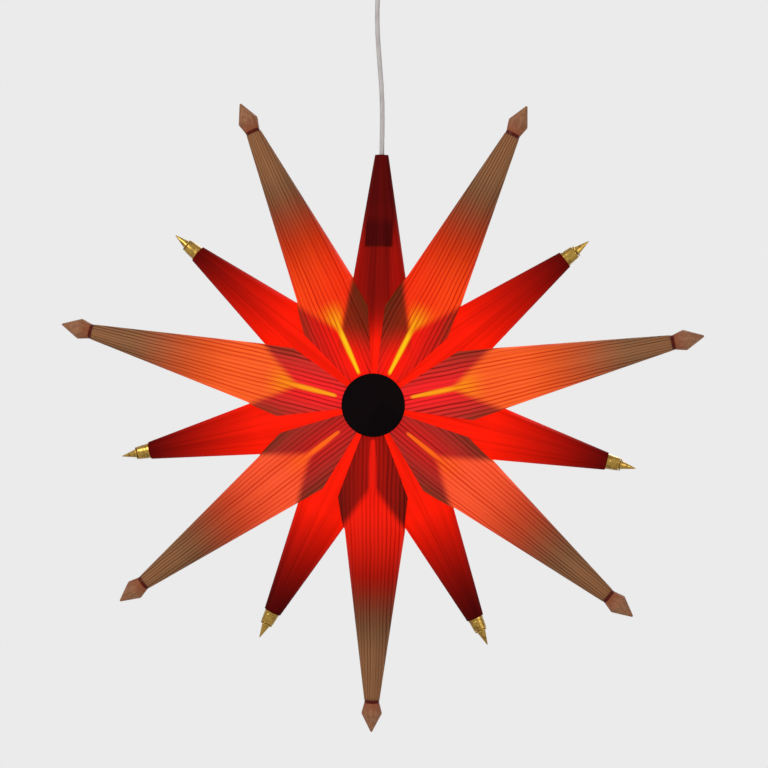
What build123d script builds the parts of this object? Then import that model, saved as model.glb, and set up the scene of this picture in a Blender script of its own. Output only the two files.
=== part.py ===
from build123d import *
import os
from math import asin, cos, pi, radians, sin, sqrt, tan

# Hanging star lantern with seven long veneer points and seven red points on one lamp, in millimetres.
# The origin is the middle of the ceiling plate's upper face. +Z is up and the star's front faces -Y.
# "along" is a distance from the star's centre out along a point, and "height" is a distance from the star's
# middle plane, taken towards the front or the back.

# Star layout
point_count = 7
star_drop = 520.0
star_shift = 7.2

# Red points: cones of film, open to the lamp at the hub
red_root_radius = 46.8
red_end_radius = 8.2
red_end_along = 242.0
red_top_end_radius = 6.13
red_top_along = 255.0
red_wall = 0.8
red_slit = 4.6

# Long points: a front and a back sheet of veneer
veneer_thickness = 0.6
veneer_inner_along = 30.0
veneer_corner_along = 94.0
veneer_corner_half = 35.5
veneer_end_along = 306.0
veneer_end_radius = 7.4
veneer_flap_rise = 2.0
veneer_step = 4.0
veneer_seam = 0.8

# Turned wooden tips and the ring below each
ring_stand = 0.3
ring_length = 3.5
wood_length = 30.5
wood_shoulder_radius = 10.7
wood_shoulder_length = 11.0
wood_spigot_length = 22.0
wood_point_radius = 0.8

# Brass tips
brass_sleeve_length = 13.0
brass_sleeve_inset = 0.3
brass_sleeve_end_radius = 6.6
brass_neck_radius = 4.2
brass_neck_length = 0.8
brass_flange_radius = 6.5
brass_flange_length = 1.2
brass_spike_radius = 4.5
brass_spike_length = 15.5
brass_point_radius = 0.4
brass_spigot_length = 14.0

# Hub
hub_ring_outer = 31.0
hub_ring_inner = 25.0
hub_ring_height = 6.0
hub_post_radius = 3.0
hub_post_count = 4
hub_post_turn = 45.0
hub_screw_inset = 2.0
hub_bore_stand = 2.0
hub_screw_radius = 1.0
hub_screw_head_radius = 2.0
hub_screw_head_height = 1.1
hub_screw_grip = 5.0
cap_overhang = 1.0
cap_height = 5.0
cap_dome = 1.2
cap_edge = 1.6
cap_spigot_length = 9.0
cap_spigot_wall = 2.0

# Lamp holder and bulb, on the axis of the top red point
holder_body_length = 36.0
holder_radius = 13.0
holder_floor = 7.0
holder_cap_wall = 2.0
holder_cap_skirt = 8.0
holder_cap_seat_length = 9.0
holder_cap_nose_length = 6.0
holder_cap_nose_radius = 5.5
shell_wall = 0.6
shell_length = 20.0
contact_thickness = 0.8
contact_width = 5.0
bulb_cap_radius = 6.9
bulb_cap_length = 21.0
bulb_cap_wall = 0.5
bulb_button_radius = 2.6
bulb_button_height = 1.6
bulb_button_taper = 20.0
bulb_neck_stand = 0.3
bulb_radius = 17.5
bulb_glass_length = 97.0
bulb_wide_drop = 52.0
bulb_tip_radius = 2.5
bulb_tip_lean = 0.7
bulb_wall = 0.8
stem_radius = 1.6
stem_collar_radius = 6.0
stem_collar_height = 1.2
stem_tip_gap = 23.0
stem_flare = 8.0
filament_radius = 0.8
filament_ring = 4.6
filament_length = 34.0
filament_count = 4

# Cord and ceiling fitting
cord_radius = 2.5
bush_length = 12.0
lead_bite = 3.0
plate_radius = 34.0
plate_thickness = 3.0
plate_hole_radius = 2.25
plate_hole_spacing = 50.0
clamp_width = 16.0
clamp_depth = 14.0
clamp_height = 18.0
clamp_round = 2.8
cord_grip_length = 13.0
clamp_screw_radius = 1.5
clamp_screw_rise = 6.5
clamp_screw_head_radius = 3.0
clamp_screw_head_height = 2.0
terminal_width = 24.0
terminal_depth = 10.0
terminal_height = 12.0
terminal_back = 17.0
terminal_spacing = 12.0
terminal_bore = 1.6
canopy_plate_gap = 4.0
canopy_height = 55.0
canopy_wall = 2.0
canopy_round = 12.0
canopy_ceiling_gap = 0.5
grip_neck_radius = 6.0
grip_flange_radius = 7.5
grip_flange_height = 3.0
grip_nut_radius = 8.0
grip_nut_end_radius = 5.0
grip_nut_height = 11.0

# Each arc of the free cord takes this share of the shorter run beside it
cord_bend_share = 0.45

# Middle line of the free cord, upwards from the star's top end, after which it hangs straight: the share of
# the star's shift that is left, and the height above that end
cord_route = [(1.014, 36.7), (0.833, 66.7), (0.417, 96.2), (0.097, 122.7), (0.0, 139.7)]

# Clearances
fit = 0.3
push_fit = 0.1

# Values that follow
sector_half = 180 / point_count
red_taper = (red_root_radius - red_end_radius) / red_end_along
top_taper = (red_root_radius - red_top_end_radius) / red_top_along
full_taper = min(red_taper, top_taper)
slim_taper = max(red_taper, top_taper)
star_centre = Vector(star_shift, 0, -star_drop)
ring_radius = veneer_end_radius + ring_stand
spigot_radius = veneer_end_radius - veneer_thickness - fit
hub_screw_at = hub_ring_outer - hub_screw_inset
hub_post_at = (hub_ring_outer + hub_ring_inner) / 2
red_bore_radius = hub_ring_inner + hub_bore_stand
cap_radius = hub_ring_outer + cap_overhang
bulb_neck_radius = bulb_cap_radius + bulb_neck_stand
canopy_inner = plate_radius + canopy_plate_gap
canopy_radius = canopy_inner + canopy_wall
far = 2 * veneer_end_along


def turned_axes(turn):
    """Across and outward directions of a point turned clockwise from straight up, seen from the front."""
    angle = radians(turn)
    return Vector(cos(angle), 0, -sin(angle)), Vector(sin(angle), 0, cos(angle))


def section_frame(turn, along):
    """Plane square to a point: its X runs across the point and its Y towards the back."""
    across, outward = turned_axes(turn)
    return Plane(origin=star_centre + outward * along, x_dir=across, z_dir=outward)


def face_frame(turn, height=0.0):
    """Plane parallel to the star, at a height on its front: X runs across the point and Y out along it."""
    across = turned_axes(turn)[0]
    return Plane(origin=star_centre - Vector(0, height, 0), x_dir=across, z_dir=(0, -1, 0))


def point_axis(turn):
    """Line from the star's centre out along a point."""
    return Axis(star_centre, turned_axes(turn)[1])


def red_radius(along, taper):
    """Outer radius of a red cone of a given taper."""
    return red_root_radius - taper * along


def red_height(along, across):
    """Height of the fullest red cone at a place given on that cone's own axes, or 0 beside it."""
    return sqrt(max(0.0, red_radius(along, full_taper) ** 2 - across**2))


def veneer_half(along):
    """Half width of a long point: straight lines from the centre to the corner, then on to the tip."""
    if along <= veneer_corner_along:
        return veneer_corner_half * along / veneer_corner_along
    share = (along - veneer_corner_along) / (veneer_end_along - veneer_corner_along)
    return veneer_corner_half + share * (veneer_end_radius - veneer_corner_half)


def red_under_edge(along):
    """Height of the red cone that the long edge of a veneer sheet passes over."""
    half = veneer_half(along)
    lean = radians(sector_half)
    red_along = along * cos(lean) + half * sin(lean)
    red_across = along * sin(lean) - half * cos(lean)
    return red_height(red_along, red_across)


def veneer_crown(along):
    """Height of a sheet's outer face on its middle line: straight from the hub to the tip."""
    inner = red_radius(veneer_inner_along, full_taper) + veneer_flap_rise
    share = (along - veneer_inner_along) / (veneer_end_along - veneer_inner_along)
    return inner + share * (veneer_end_radius - inner)


def veneer_edge(along):
    """Height of a sheet's outer face at its long edges: just over the red cone, then down to the seam."""
    if along <= veneer_corner_along:
        under = red_under_edge(along)
    else:
        under = red_under_edge(along - veneer_step)
    if under == 0.0:
        return veneer_seam / 2
    return under + fit + veneer_thickness


def veneer_stations():
    """Places of a sheet's sections: the flap, then short steps until the edge has passed the red cone."""
    stations = [veneer_inner_along, veneer_corner_along]
    while veneer_edge(stations[-1]) > veneer_seam / 2:
        stations.append(stations[-1] + veneer_step)
    return stations + [veneer_end_along]


def veneer_sheet(turn, side):
    """One sheet: arched bands joined by straight lines. side is -1 for the front and 1 for the back."""
    with BuildPart() as sheet:
        for along in veneer_stations():
            half = veneer_half(along)
            crown = veneer_crown(along)
            rise = crown - veneer_edge(along)
            arc = (half**2 + rise**2) / (2 * rise)
            spread = asin(half / arc)
            inner_arc = arc - veneer_thickness
            middle = crown - arc
            with BuildSketch(section_frame(turn, along)):
                with BuildLine():
                    outer = ThreePointArc(
                        (-half, side * (middle + arc * cos(spread))),
                        (0, side * crown),
                        (half, side * (middle + arc * cos(spread))),
                    )
                    inner = ThreePointArc(
                        (-inner_arc * sin(spread), side * (middle + inner_arc * cos(spread))),
                        (0, side * (crown - veneer_thickness)),
                        (inner_arc * sin(spread), side * (middle + inner_arc * cos(spread))),
                    )
                    Line(outer @ 0, inner @ 0)
                    Line(outer @ 1, inner @ 1)
                make_face()
        loft(ruled=True)
    return sheet


def red_point(turn, end_along, taper):
    """One red cone: cut beside its neighbours by a slit, bored at the hub and pierced for its screws."""
    sector_start = red_slit / 2 / sin(radians(sector_half))
    sector_side = far * sin(radians(sector_half))
    sector_end = sector_start + far * cos(radians(sector_half))
    with BuildPart() as point:
        with BuildSketch(face_frame(turn)):
            with BuildLine():
                Polyline(
                    (red_root_radius, 0),
                    (red_radius(end_along, taper), end_along),
                    (red_radius(end_along, taper) - red_wall, end_along),
                    (red_root_radius - red_wall, 0),
                    close=True,
                )
            make_face()
        revolve(axis=point_axis(turn))
        with BuildSketch(face_frame(turn)):
            with BuildLine():
                Polyline(
                    (0, sector_start),
                    (sector_side, sector_end),
                    (-sector_side, sector_end),
                    close=True,
                )
            make_face()
        extrude(amount=far, both=True, mode=Mode.INTERSECT)
        with BuildSketch(face_frame(turn)):
            Circle(red_bore_radius)
            with Locations((0, hub_screw_at)):
                Circle(hub_screw_radius + fit)
        extrude(amount=far, both=True, mode=Mode.SUBTRACT)
    return point


def lathe(turn, outline):
    """Solid turned about a point's axis from an outline of (radius, along) corners."""
    with BuildPart() as turned:
        with BuildSketch(face_frame(turn)):
            with BuildLine():
                Polyline(*outline, close=True)
            make_face()
        revolve(axis=point_axis(turn))
    return turned


def wood_tip(turn):
    """Turned wooden tip: spigot in the veneer, flared shoulder and cone."""
    ring_end = veneer_end_along + ring_length
    shoulder = ring_end + wood_shoulder_length
    return lathe(
        turn,
        [
            (0, veneer_end_along - wood_spigot_length),
            (spigot_radius, veneer_end_along - wood_spigot_length),
            (spigot_radius, ring_end),
            (ring_radius, ring_end),
            (wood_shoulder_radius, shoulder),
            (wood_point_radius, ring_end + wood_length),
            (0, ring_end + wood_length),
        ],
    )


def brass_tip(turn):
    """Brass tip: spigot in the film, tapered sleeve on the film's end, neck, thin flange and slim spike."""
    sleeve_end = red_end_along + brass_sleeve_length
    flange = sleeve_end + brass_neck_length
    spike = flange + brass_flange_length
    spigot = red_end_radius - red_wall - push_fit
    return lathe(
        turn,
        [
            (0, red_end_along - brass_spigot_length),
            (spigot, red_end_along - brass_spigot_length),
            (spigot, red_end_along),
            (red_end_radius - brass_sleeve_inset, red_end_along),
            (brass_sleeve_end_radius, sleeve_end),
            (brass_neck_radius, sleeve_end),
            (brass_neck_radius, flange),
            (brass_flange_radius, flange),
            (brass_flange_radius, spike),
            (brass_spike_radius, spike),
            (brass_point_radius, spike + brass_spike_length),
            (0, spike + brass_spike_length),
        ],
    )


def keep(piece, name):
    """Label a finished piece and write it to its own file."""
    piece.part.label = name
    export_step(piece.part, f"parts/{name}.step")


os.makedirs("parts", exist_ok=True)

# Long points, numbered clockwise from the upper right
long_turns = [(index + 0.5) * 2 * sector_half for index in range(point_count)]
for number, turn in enumerate(long_turns, 1):
    keep(veneer_sheet(turn, -1), f"veneer_front_{number}")
    keep(veneer_sheet(turn, 1), f"veneer_back_{number}")
    keep(wood_tip(turn), f"wood_tip_{number}")

# One ring below each wooden tip
with BuildPart() as tip_rings:
    for turn in long_turns:
        with BuildSketch(section_frame(turn, veneer_end_along)):
            Circle(ring_radius)
            Circle(spigot_radius + push_fit, mode=Mode.SUBTRACT)
        extrude(amount=ring_length)
keep(tip_rings, "tip_rings")

# Red points, numbered clockwise from the upper right, with the top one apart
for number in range(1, point_count):
    turn = number * 2 * sector_half
    keep(red_point(turn, red_end_along, red_taper), f"red_point_{number}")
    keep(brass_tip(turn), f"brass_tip_{number}")
keep(red_point(0, red_top_along, top_taper), "top_red_point")

# Hub: a ring behind each face of the red star, posts between them, and screws through the red film
slit_edge_along = hub_ring_outer * cos(radians(sector_half)) + red_slit / 2 * sin(radians(sector_half))
slit_edge_across = hub_ring_outer * sin(radians(sector_half)) - red_slit / 2 * cos(radians(sector_half))
hub_ring_top = sqrt((red_radius(slit_edge_along, slim_taper) - red_wall) ** 2 - slit_edge_across**2) - fit
hub_ring_floor = hub_ring_top - hub_ring_height
for side, name in ((1, "front_hub_ring"), (-1, "back_hub_ring")):
    with BuildPart() as hub_ring:
        with BuildSketch(face_frame(0, side * hub_ring_floor)):
            Circle(hub_ring_outer)
            Circle(hub_ring_inner, mode=Mode.SUBTRACT)
            with PolarLocations(hub_screw_at, point_count, start_angle=90):
                Circle(hub_screw_radius + push_fit, mode=Mode.SUBTRACT)
        extrude(amount=side * hub_ring_height)
    keep(hub_ring, name)

with BuildPart() as hub_posts:
    with BuildSketch(face_frame(0)):
        with PolarLocations(hub_post_at, hub_post_count, start_angle=hub_post_turn):
            Circle(hub_post_radius)
    extrude(amount=hub_ring_floor, both=True)
keep(hub_posts, "hub_posts")

screw_seat = red_radius(hub_screw_at - hub_screw_head_radius, full_taper) + push_fit
with BuildPart() as hub_screws:
    for side in (1, -1):
        with BuildSketch(face_frame(0, side * (hub_ring_top - hub_screw_grip))):
            with PolarLocations(hub_screw_at, point_count, start_angle=90):
                Circle(hub_screw_radius)
        extrude(amount=side * (screw_seat - hub_ring_top + hub_screw_grip))
        with BuildSketch(face_frame(0, side * screw_seat)):
            with PolarLocations(hub_screw_at, point_count, start_angle=90):
                Circle(hub_screw_head_radius)
        extrude(amount=side * hub_screw_head_height)
keep(hub_screws, "hub_screws")

# Hub caps: domed discs with a spigot that pushes into the ring's bore
cap_seat = max(veneer_crown(veneer_inner_along), screw_seat + hub_screw_head_height) + fit
cap_top = cap_seat + cap_height + cap_dome
for side, name in ((1, "front_cap"), (-1, "back_cap")):
    spigot = hub_ring_inner - fit
    with BuildPart() as cap:
        with BuildSketch(Plane(star_centre, x_dir=(1, 0, 0), z_dir=(0, 0, 1))):
            with BuildLine():
                Polyline(
                    (0, -side * cap_top),
                    (0, -side * cap_seat),
                    (spigot - cap_spigot_wall, -side * cap_seat),
                    (spigot - cap_spigot_wall, -side * (cap_seat - cap_spigot_length)),
                    (spigot, -side * (cap_seat - cap_spigot_length)),
                    (spigot, -side * cap_seat),
                    (cap_radius, -side * cap_seat),
                    (cap_radius, -side * (cap_seat + cap_height)),
                )
                TangentArc(
                    (0, -side * cap_top),
                    (cap_radius, -side * (cap_seat + cap_height)),
                    tangent=(1, 0),
                )
            make_face()
        revolve(axis=Axis(star_centre, (0, 1, 0)))
        rims = cap.edges().filter_by(GeomType.CIRCLE).group_by(SortBy.LENGTH)[-1]
        fillet(rims.sort_by(Axis.Y)[0 if side > 0 else -1], cap_edge)
    keep(cap, name)

# Lamp holder: a body with a socket, and a cap whose taper seats in the top red cone and carries the star
top_wall_radius = red_root_radius - red_wall - fit
cap_seat_start = (top_wall_radius - holder_radius) / top_taper
cap_seat_end = cap_seat_start + holder_cap_seat_length
cap_seat_radius = top_wall_radius - top_taper * cap_seat_end
cap_nose_end = cap_seat_end + holder_cap_nose_length
holder_top = cap_seat_start - holder_cap_skirt
holder_mouth_along = holder_top - holder_body_length
shell_bore = bulb_cap_radius + fit
socket_radius = shell_bore + shell_wall + push_fit
keep(
    lathe(
        0,
        [
            (socket_radius, holder_mouth_along),
            (holder_radius, holder_mouth_along),
            (holder_radius, holder_top),
            (cord_radius + push_fit, holder_top),
            (cord_radius + push_fit, holder_top - holder_floor),
            (socket_radius, holder_top - holder_floor),
        ],
    ),
    "holder_body",
)

keep(
    lathe(
        0,
        [
            (holder_radius - holder_cap_wall, holder_top),
            (holder_radius, holder_top),
            (holder_radius, cap_seat_start),
            (cap_seat_radius, cap_seat_end),
            (holder_cap_nose_radius, cap_nose_end),
            (cord_radius + push_fit, cap_nose_end),
            (cord_radius + push_fit, cap_seat_end),
            (holder_radius - holder_cap_wall, cap_seat_start),
        ],
    ),
    "holder_cap",
)

shell_start = holder_top - holder_floor - shell_length
with BuildPart() as holder_thread_shell:
    with BuildSketch(section_frame(0, shell_start)):
        Circle(shell_bore + shell_wall)
        Circle(shell_bore, mode=Mode.SUBTRACT)
    extrude(amount=shell_length)
keep(holder_thread_shell, "holder_thread_shell")

contact_half = sqrt((shell_bore - fit) ** 2 - (contact_width / 2) ** 2)
with BuildPart() as holder_contact:
    with BuildSketch(section_frame(0, holder_top - holder_floor - contact_thickness)):
        Rectangle(2 * contact_half, contact_width)
    extrude(amount=contact_thickness)
keep(holder_contact, "holder_contact")

# Bulb: a candle shape hanging down from the holder, turned about the same axis
bulb_button_end = holder_top - holder_floor - contact_thickness - fit
bulb_cap_end = bulb_button_end - bulb_button_height
bulb_cap_start = bulb_cap_end - bulb_cap_length
keep(
    lathe(
        0,
        [
            (bulb_cap_radius - bulb_cap_wall, bulb_cap_start),
            (bulb_cap_radius, bulb_cap_start),
            (bulb_cap_radius, bulb_cap_end - bulb_button_height),
            (bulb_button_radius + bulb_cap_wall, bulb_cap_end),
            (bulb_button_radius, bulb_cap_end),
            (bulb_button_radius, bulb_cap_end - bulb_button_height),
            (bulb_cap_radius - bulb_cap_wall, bulb_cap_end - 2 * bulb_button_height),
        ],
    ),
    "bulb_screw_cap",
)

with BuildPart() as bulb_contact:
    with BuildSketch(section_frame(0, bulb_cap_end)):
        Circle(bulb_button_radius)
    extrude(amount=bulb_button_height, taper=bulb_button_taper)
keep(bulb_contact, "bulb_contact")

glass_top = bulb_cap_start
glass_wide = glass_top - bulb_wide_drop
glass_tip = glass_top - bulb_glass_length
with BuildPart() as bulb_glass:
    with BuildSketch(face_frame(0)):
        with BuildLine():
            Spline(
                (bulb_neck_radius, glass_top),
                (bulb_radius, glass_wide),
                (bulb_tip_radius, glass_tip + bulb_tip_radius),
                tangents=((0, -1), (0, -1), (-bulb_tip_lean, -1)),
            )
            Line((bulb_tip_radius, glass_tip + bulb_tip_radius), (0, glass_tip))
            Line((0, glass_tip), (0, glass_tip + bulb_wall))
            Spline(
                (0, glass_tip + bulb_wall),
                (bulb_radius - bulb_wall, glass_wide),
                (bulb_neck_radius - bulb_wall, glass_top),
                tangents=((bulb_tip_lean, 1), (0, 1), (0, 1)),
            )
            Line((bulb_neck_radius - bulb_wall, glass_top), (bulb_neck_radius, glass_top))
        make_face()
    revolve(axis=point_axis(0))
keep(bulb_glass, "bulb_glass")

# Glass stem with two collars, and the filament rods between them
stem_end = glass_tip + stem_tip_gap
lower_collar = stem_end + stem_collar_height
upper_collar = lower_collar + filament_length
keep(
    lathe(
        0,
        [
            (0, glass_top),
            (bulb_neck_radius - bulb_wall - push_fit, glass_top),
            (stem_radius, glass_top - stem_flare),
            (stem_radius, upper_collar + stem_collar_height),
            (stem_collar_radius, upper_collar + stem_collar_height),
            (stem_collar_radius, upper_collar),
            (stem_radius, upper_collar),
            (stem_radius, lower_collar),
            (stem_collar_radius, lower_collar),
            (stem_collar_radius, stem_end),
            (0, stem_end),
        ],
    ),
    "bulb_stem",
)

with BuildPart() as bulb_filaments:
    with BuildSketch(section_frame(0, lower_collar)):
        with PolarLocations(filament_ring, filament_count):
            Circle(filament_radius)
    extrude(amount=filament_length)
keep(bulb_filaments, "bulb_filaments")

# Lead inside the top red point, and the tapered bush that centres it in the film's open end
with BuildPart() as inner_lead:
    with BuildSketch(section_frame(0, holder_top - lead_bite)):
        Circle(cord_radius)
    extrude(amount=red_top_along - holder_top + lead_bite)
keep(inner_lead, "inner_lead")

bush_start = red_top_along - bush_length
keep(
    lathe(
        0,
        [
            (cord_radius + push_fit, bush_start),
            (red_radius(bush_start, top_taper) - red_wall - push_fit, bush_start),
            (red_top_end_radius - red_wall - push_fit, red_top_along),
            (cord_radius + push_fit, red_top_along),
        ],
    ),
    "cord_bush",
)

# Free cord: straight runs joined by arcs as large as the runs allow, up into the ceiling clamp
clamp_floor = -plate_thickness - clamp_height
cord_foot = (star_shift, -star_drop + red_top_along + fit)
cord_head = (0.0, clamp_floor + cord_grip_length)
cord_bows = [(share * star_shift, cord_foot[1] + rise) for share, rise in cord_route]
cord_points = [Vector(x, 0, z) for x, z in [cord_foot, *cord_bows, cord_head]]
cord_runs = [after - before for before, after in zip(cord_points, cord_points[1:])]
cord_bends = []
for before, after in zip(cord_runs, cord_runs[1:]):
    half_turn = radians(before.get_angle(after)) / 2
    cord_bends.append(cord_bend_share * min(before.length, after.length) / tan(half_turn))
with BuildPart() as cord:
    with BuildLine() as cord_line:
        FilletPolyline(*cord_points, radius=cord_bends)
    with BuildSketch(Plane(origin=cord_points[0], z_dir=cord_line.line % 0)):
        Circle(cord_radius)
    sweep()
keep(cord, "cord")
cord_length = sum(edge.length for edge in cord_line.edges())
print("cord bends", [round(bend) for bend in cord_bends], "length", round(cord_length, 1))
print("cord volume", round(cord.part.volume), "of", round(pi * cord_radius**2 * cord_length))

# Ceiling plate with two screw holes, and below it the cord clamp, its screw and the terminal block
with BuildPart() as ceiling_plate:
    with BuildSketch(Plane.XY.offset(-plate_thickness)):
        Circle(plate_radius)
        with GridLocations(plate_hole_spacing, 0, 2, 1):
            Circle(plate_hole_radius, mode=Mode.SUBTRACT)
    extrude(amount=plate_thickness)
keep(ceiling_plate, "ceiling_plate")

clamp_screw_height = clamp_floor + clamp_screw_rise
with BuildPart() as cord_clamp:
    with BuildSketch(Plane.XY.offset(clamp_floor)):
        Rectangle(clamp_width, clamp_depth)
    extrude(amount=clamp_height)
    fillet(cord_clamp.edges().filter_by(Axis.Z), clamp_round)
    with BuildSketch(Plane.XY.offset(clamp_floor)):
        Circle(cord_radius + push_fit)
    extrude(amount=cord_grip_length, mode=Mode.SUBTRACT)
    with BuildSketch(Plane.XZ):
        with Locations((0, clamp_screw_height)):
            Circle(clamp_screw_radius + push_fit)
    extrude(amount=clamp_depth, mode=Mode.SUBTRACT)
keep(cord_clamp, "cord_clamp")

with BuildPart() as clamp_screw:
    with BuildSketch(Plane.XZ.offset(cord_radius + push_fit)):
        with Locations((0, clamp_screw_height)):
            Circle(clamp_screw_radius)
    extrude(amount=clamp_depth / 2 - cord_radius)
    with BuildSketch(Plane.XZ.offset(clamp_depth / 2 + push_fit)):
        with Locations((0, clamp_screw_height)):
            Circle(clamp_screw_head_radius)
    extrude(amount=clamp_screw_head_height)
keep(clamp_screw, "clamp_screw")

with BuildPart() as terminal_block:
    with BuildSketch(Plane.XY.offset(-plate_thickness - terminal_height)):
        with Locations((0, terminal_back)):
            Rectangle(terminal_width, terminal_depth)
    extrude(amount=terminal_height)
    with BuildSketch(Plane.XZ.offset(-terminal_back)):
        with Locations((0, -plate_thickness - terminal_height / 2)):
            with GridLocations(terminal_spacing, 0, 2, 1):
                Circle(terminal_bore)
    extrude(amount=terminal_depth, both=True, mode=Mode.SUBTRACT)
keep(terminal_block, "terminal_block")

# Canopy: an open cup over the plate, with a snap-in cord grip through its floor
canopy_floor = -canopy_ceiling_gap - canopy_height
grip_hole = grip_neck_radius + push_fit
with BuildPart() as canopy:
    with BuildSketch(Plane.XZ):
        with BuildLine():
            Line((grip_hole, canopy_floor), (canopy_radius - canopy_round, canopy_floor))
            TangentArc(
                (canopy_radius - canopy_round, canopy_floor),
                (canopy_radius, canopy_floor + canopy_round),
                tangent=(1, 0),
            )
            Polyline(
                (canopy_radius, canopy_floor + canopy_round),
                (canopy_radius, -canopy_ceiling_gap),
                (canopy_inner, -canopy_ceiling_gap),
                (canopy_inner, canopy_floor + canopy_round),
            )
            TangentArc(
                (canopy_inner, canopy_floor + canopy_round),
                (canopy_radius - canopy_round, canopy_floor + canopy_wall),
                tangent=(0, -1),
            )
            Polyline(
                (canopy_radius - canopy_round, canopy_floor + canopy_wall),
                (grip_hole, canopy_floor + canopy_wall),
                (grip_hole, canopy_floor),
            )
        make_face()
    revolve(axis=Axis.Z)
keep(canopy, "canopy")

grip_bore = cord_radius + fit
with BuildPart() as canopy_grip:
    with BuildSketch(Plane.XZ):
        with BuildLine():
            Polyline(
                (grip_bore, canopy_floor - grip_nut_height),
                (grip_nut_end_radius, canopy_floor - grip_nut_height),
                (grip_nut_radius, canopy_floor),
                (grip_neck_radius, canopy_floor),
                (grip_neck_radius, canopy_floor + canopy_wall),
                (grip_flange_radius, canopy_floor + canopy_wall),
                (grip_neck_radius, canopy_floor + canopy_wall + grip_flange_height),
                (grip_bore, canopy_floor + canopy_wall + grip_flange_height),
                close=True,
            )
        make_face()
    revolve(axis=Axis.Z)
keep(canopy_grip, "canopy_grip")
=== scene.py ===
"""Looks of a hanging star lantern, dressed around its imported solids, in metres.

The star stands in the XZ plane below the ceiling, with its front to -Y. Long points of striped veneer
alternate with points of red film. A point's turn is in degrees clockwise from straight up, seen from the
front. "along" is a distance from the star's centre out along a point, "across" a distance beside its middle
line, and "height" a distance from the star's middle plane. A piece's local coordinates are (across, back,
along).
"""

from math import cos, pi, radians, sin, tan

import bmesh
import bpy
import numpy as np
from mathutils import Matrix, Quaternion, Vector


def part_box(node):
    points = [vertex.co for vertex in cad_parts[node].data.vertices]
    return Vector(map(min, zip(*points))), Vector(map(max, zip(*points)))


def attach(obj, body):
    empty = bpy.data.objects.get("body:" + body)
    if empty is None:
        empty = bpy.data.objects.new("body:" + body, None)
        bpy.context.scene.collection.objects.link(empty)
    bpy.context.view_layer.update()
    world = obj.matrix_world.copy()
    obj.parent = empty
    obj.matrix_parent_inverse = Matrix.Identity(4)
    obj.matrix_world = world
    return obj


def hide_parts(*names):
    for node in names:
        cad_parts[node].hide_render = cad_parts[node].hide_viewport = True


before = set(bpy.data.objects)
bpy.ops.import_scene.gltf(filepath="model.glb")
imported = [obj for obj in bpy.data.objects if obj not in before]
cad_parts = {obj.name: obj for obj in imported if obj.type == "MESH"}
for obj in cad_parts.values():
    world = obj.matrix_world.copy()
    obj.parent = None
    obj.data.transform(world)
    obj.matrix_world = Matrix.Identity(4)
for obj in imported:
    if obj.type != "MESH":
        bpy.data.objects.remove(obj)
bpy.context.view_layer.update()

# Star layout. A level is how high a point stands, from 0 straight down to 1 straight up. The levels here
# are of the bottom long point and of the lower, the side and the upper pair of long points.
point_count = 7
sector_half = 180 / point_count
lean = radians(sector_half)
point_levels = [(1 - cos(2 * lean * step)) / 2 for step in range(4)]
cap_low, cap_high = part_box("front_cap")
star_centre = np.array([(cap_low.x + cap_high.x) / 2, 0.0, (cap_low.z + cap_high.z) / 2])
clearance = 0.0003

# Red film cones
red_root_radius = 0.0468
red_end_radius = 0.0082
red_end_along = 0.242
red_top_along = 0.255
red_start_along = 0.027
red_wall = 0.0008
red_slit = 0.0046
red_taper = (red_root_radius - red_end_radius) / red_end_along

# Veneer sheets
veneer_thickness = 0.0006
veneer_inner_along = 0.030
veneer_corner_along = 0.094
veneer_corner_half = 0.0355
veneer_end_along = 0.306
veneer_end_radius = 0.0074
veneer_flap_rise = 0.002
veneer_step = 0.004
veneer_seam = 0.0008

# Grain of the veneer: its pitch by the corner, the share of the pitch's square that is lost at the tip, and
# the waver in pitches
grain_pitch = 0.0043
grain_gather = 0.72
grain_waver = 1.1

# Wooden tips and their rings
ring_length = 0.0035
ring_radius = 0.0077
ring_bore = 0.0066
wood_plug_radius = 0.0065
wood_plug_length = 0.004
wood_shoulder_radius = 0.0107
wood_shoulder_along = 0.011
wood_end_radius = 0.0008
wood_length = 0.0305

# Brass tips
brass_plug_radius = 0.0073
brass_plug_length = 0.004
sleeve_root_radius = 0.0079
sleeve_end_radius = 0.0066
sleeve_length = 0.013
groove_along = 0.0026
groove_half = 0.0005
groove_near_radius = 0.00765
groove_radius = 0.0072
groove_far_radius = 0.0075
neck_radius = 0.0042
neck_length = 0.0008
flange_radius = 0.0065
flange_length = 0.0012
spike_root_radius = 0.0045
spike_end_radius = 0.0004
spike_length = 0.0155

# Hub caps
cap_radius = 0.032
cap_spigot_radius = 0.0247
cap_spigot_bore = 0.0227
cap_spigot_length = 0.009
cap_dome_radius = 0.030
cap_rim_drop = 0.0012
cap_dome_drop = 0.001056

# Canopy and its cord grip
canopy_wall = 0.002
canopy_shoulder = 0.012
canopy_rim_height = 0.006
canopy_hole_radius = 0.0061
grip_bore = 0.0028
grip_nut_length = 0.011
grip_nut_end_radius = 0.005
grip_nut_radius = 0.008
grip_neck_radius = 0.006
grip_flange_radius = 0.0075

# Lamp holder, whose shadow falls on the top red point
holder_mouth_along = 0.161
holder_radius = 0.013

# Cord
cord_diameter = 0.005
cord_route = [
    (0.0072, -0.2647),
    (0.0073, -0.228),
    (0.006, -0.198),
    (0.003, -0.1685),
    (0.0007, -0.142),
    (0.0, -0.125),
    (0.0, -0.108),
    (0.0, -0.008),
]

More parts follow.
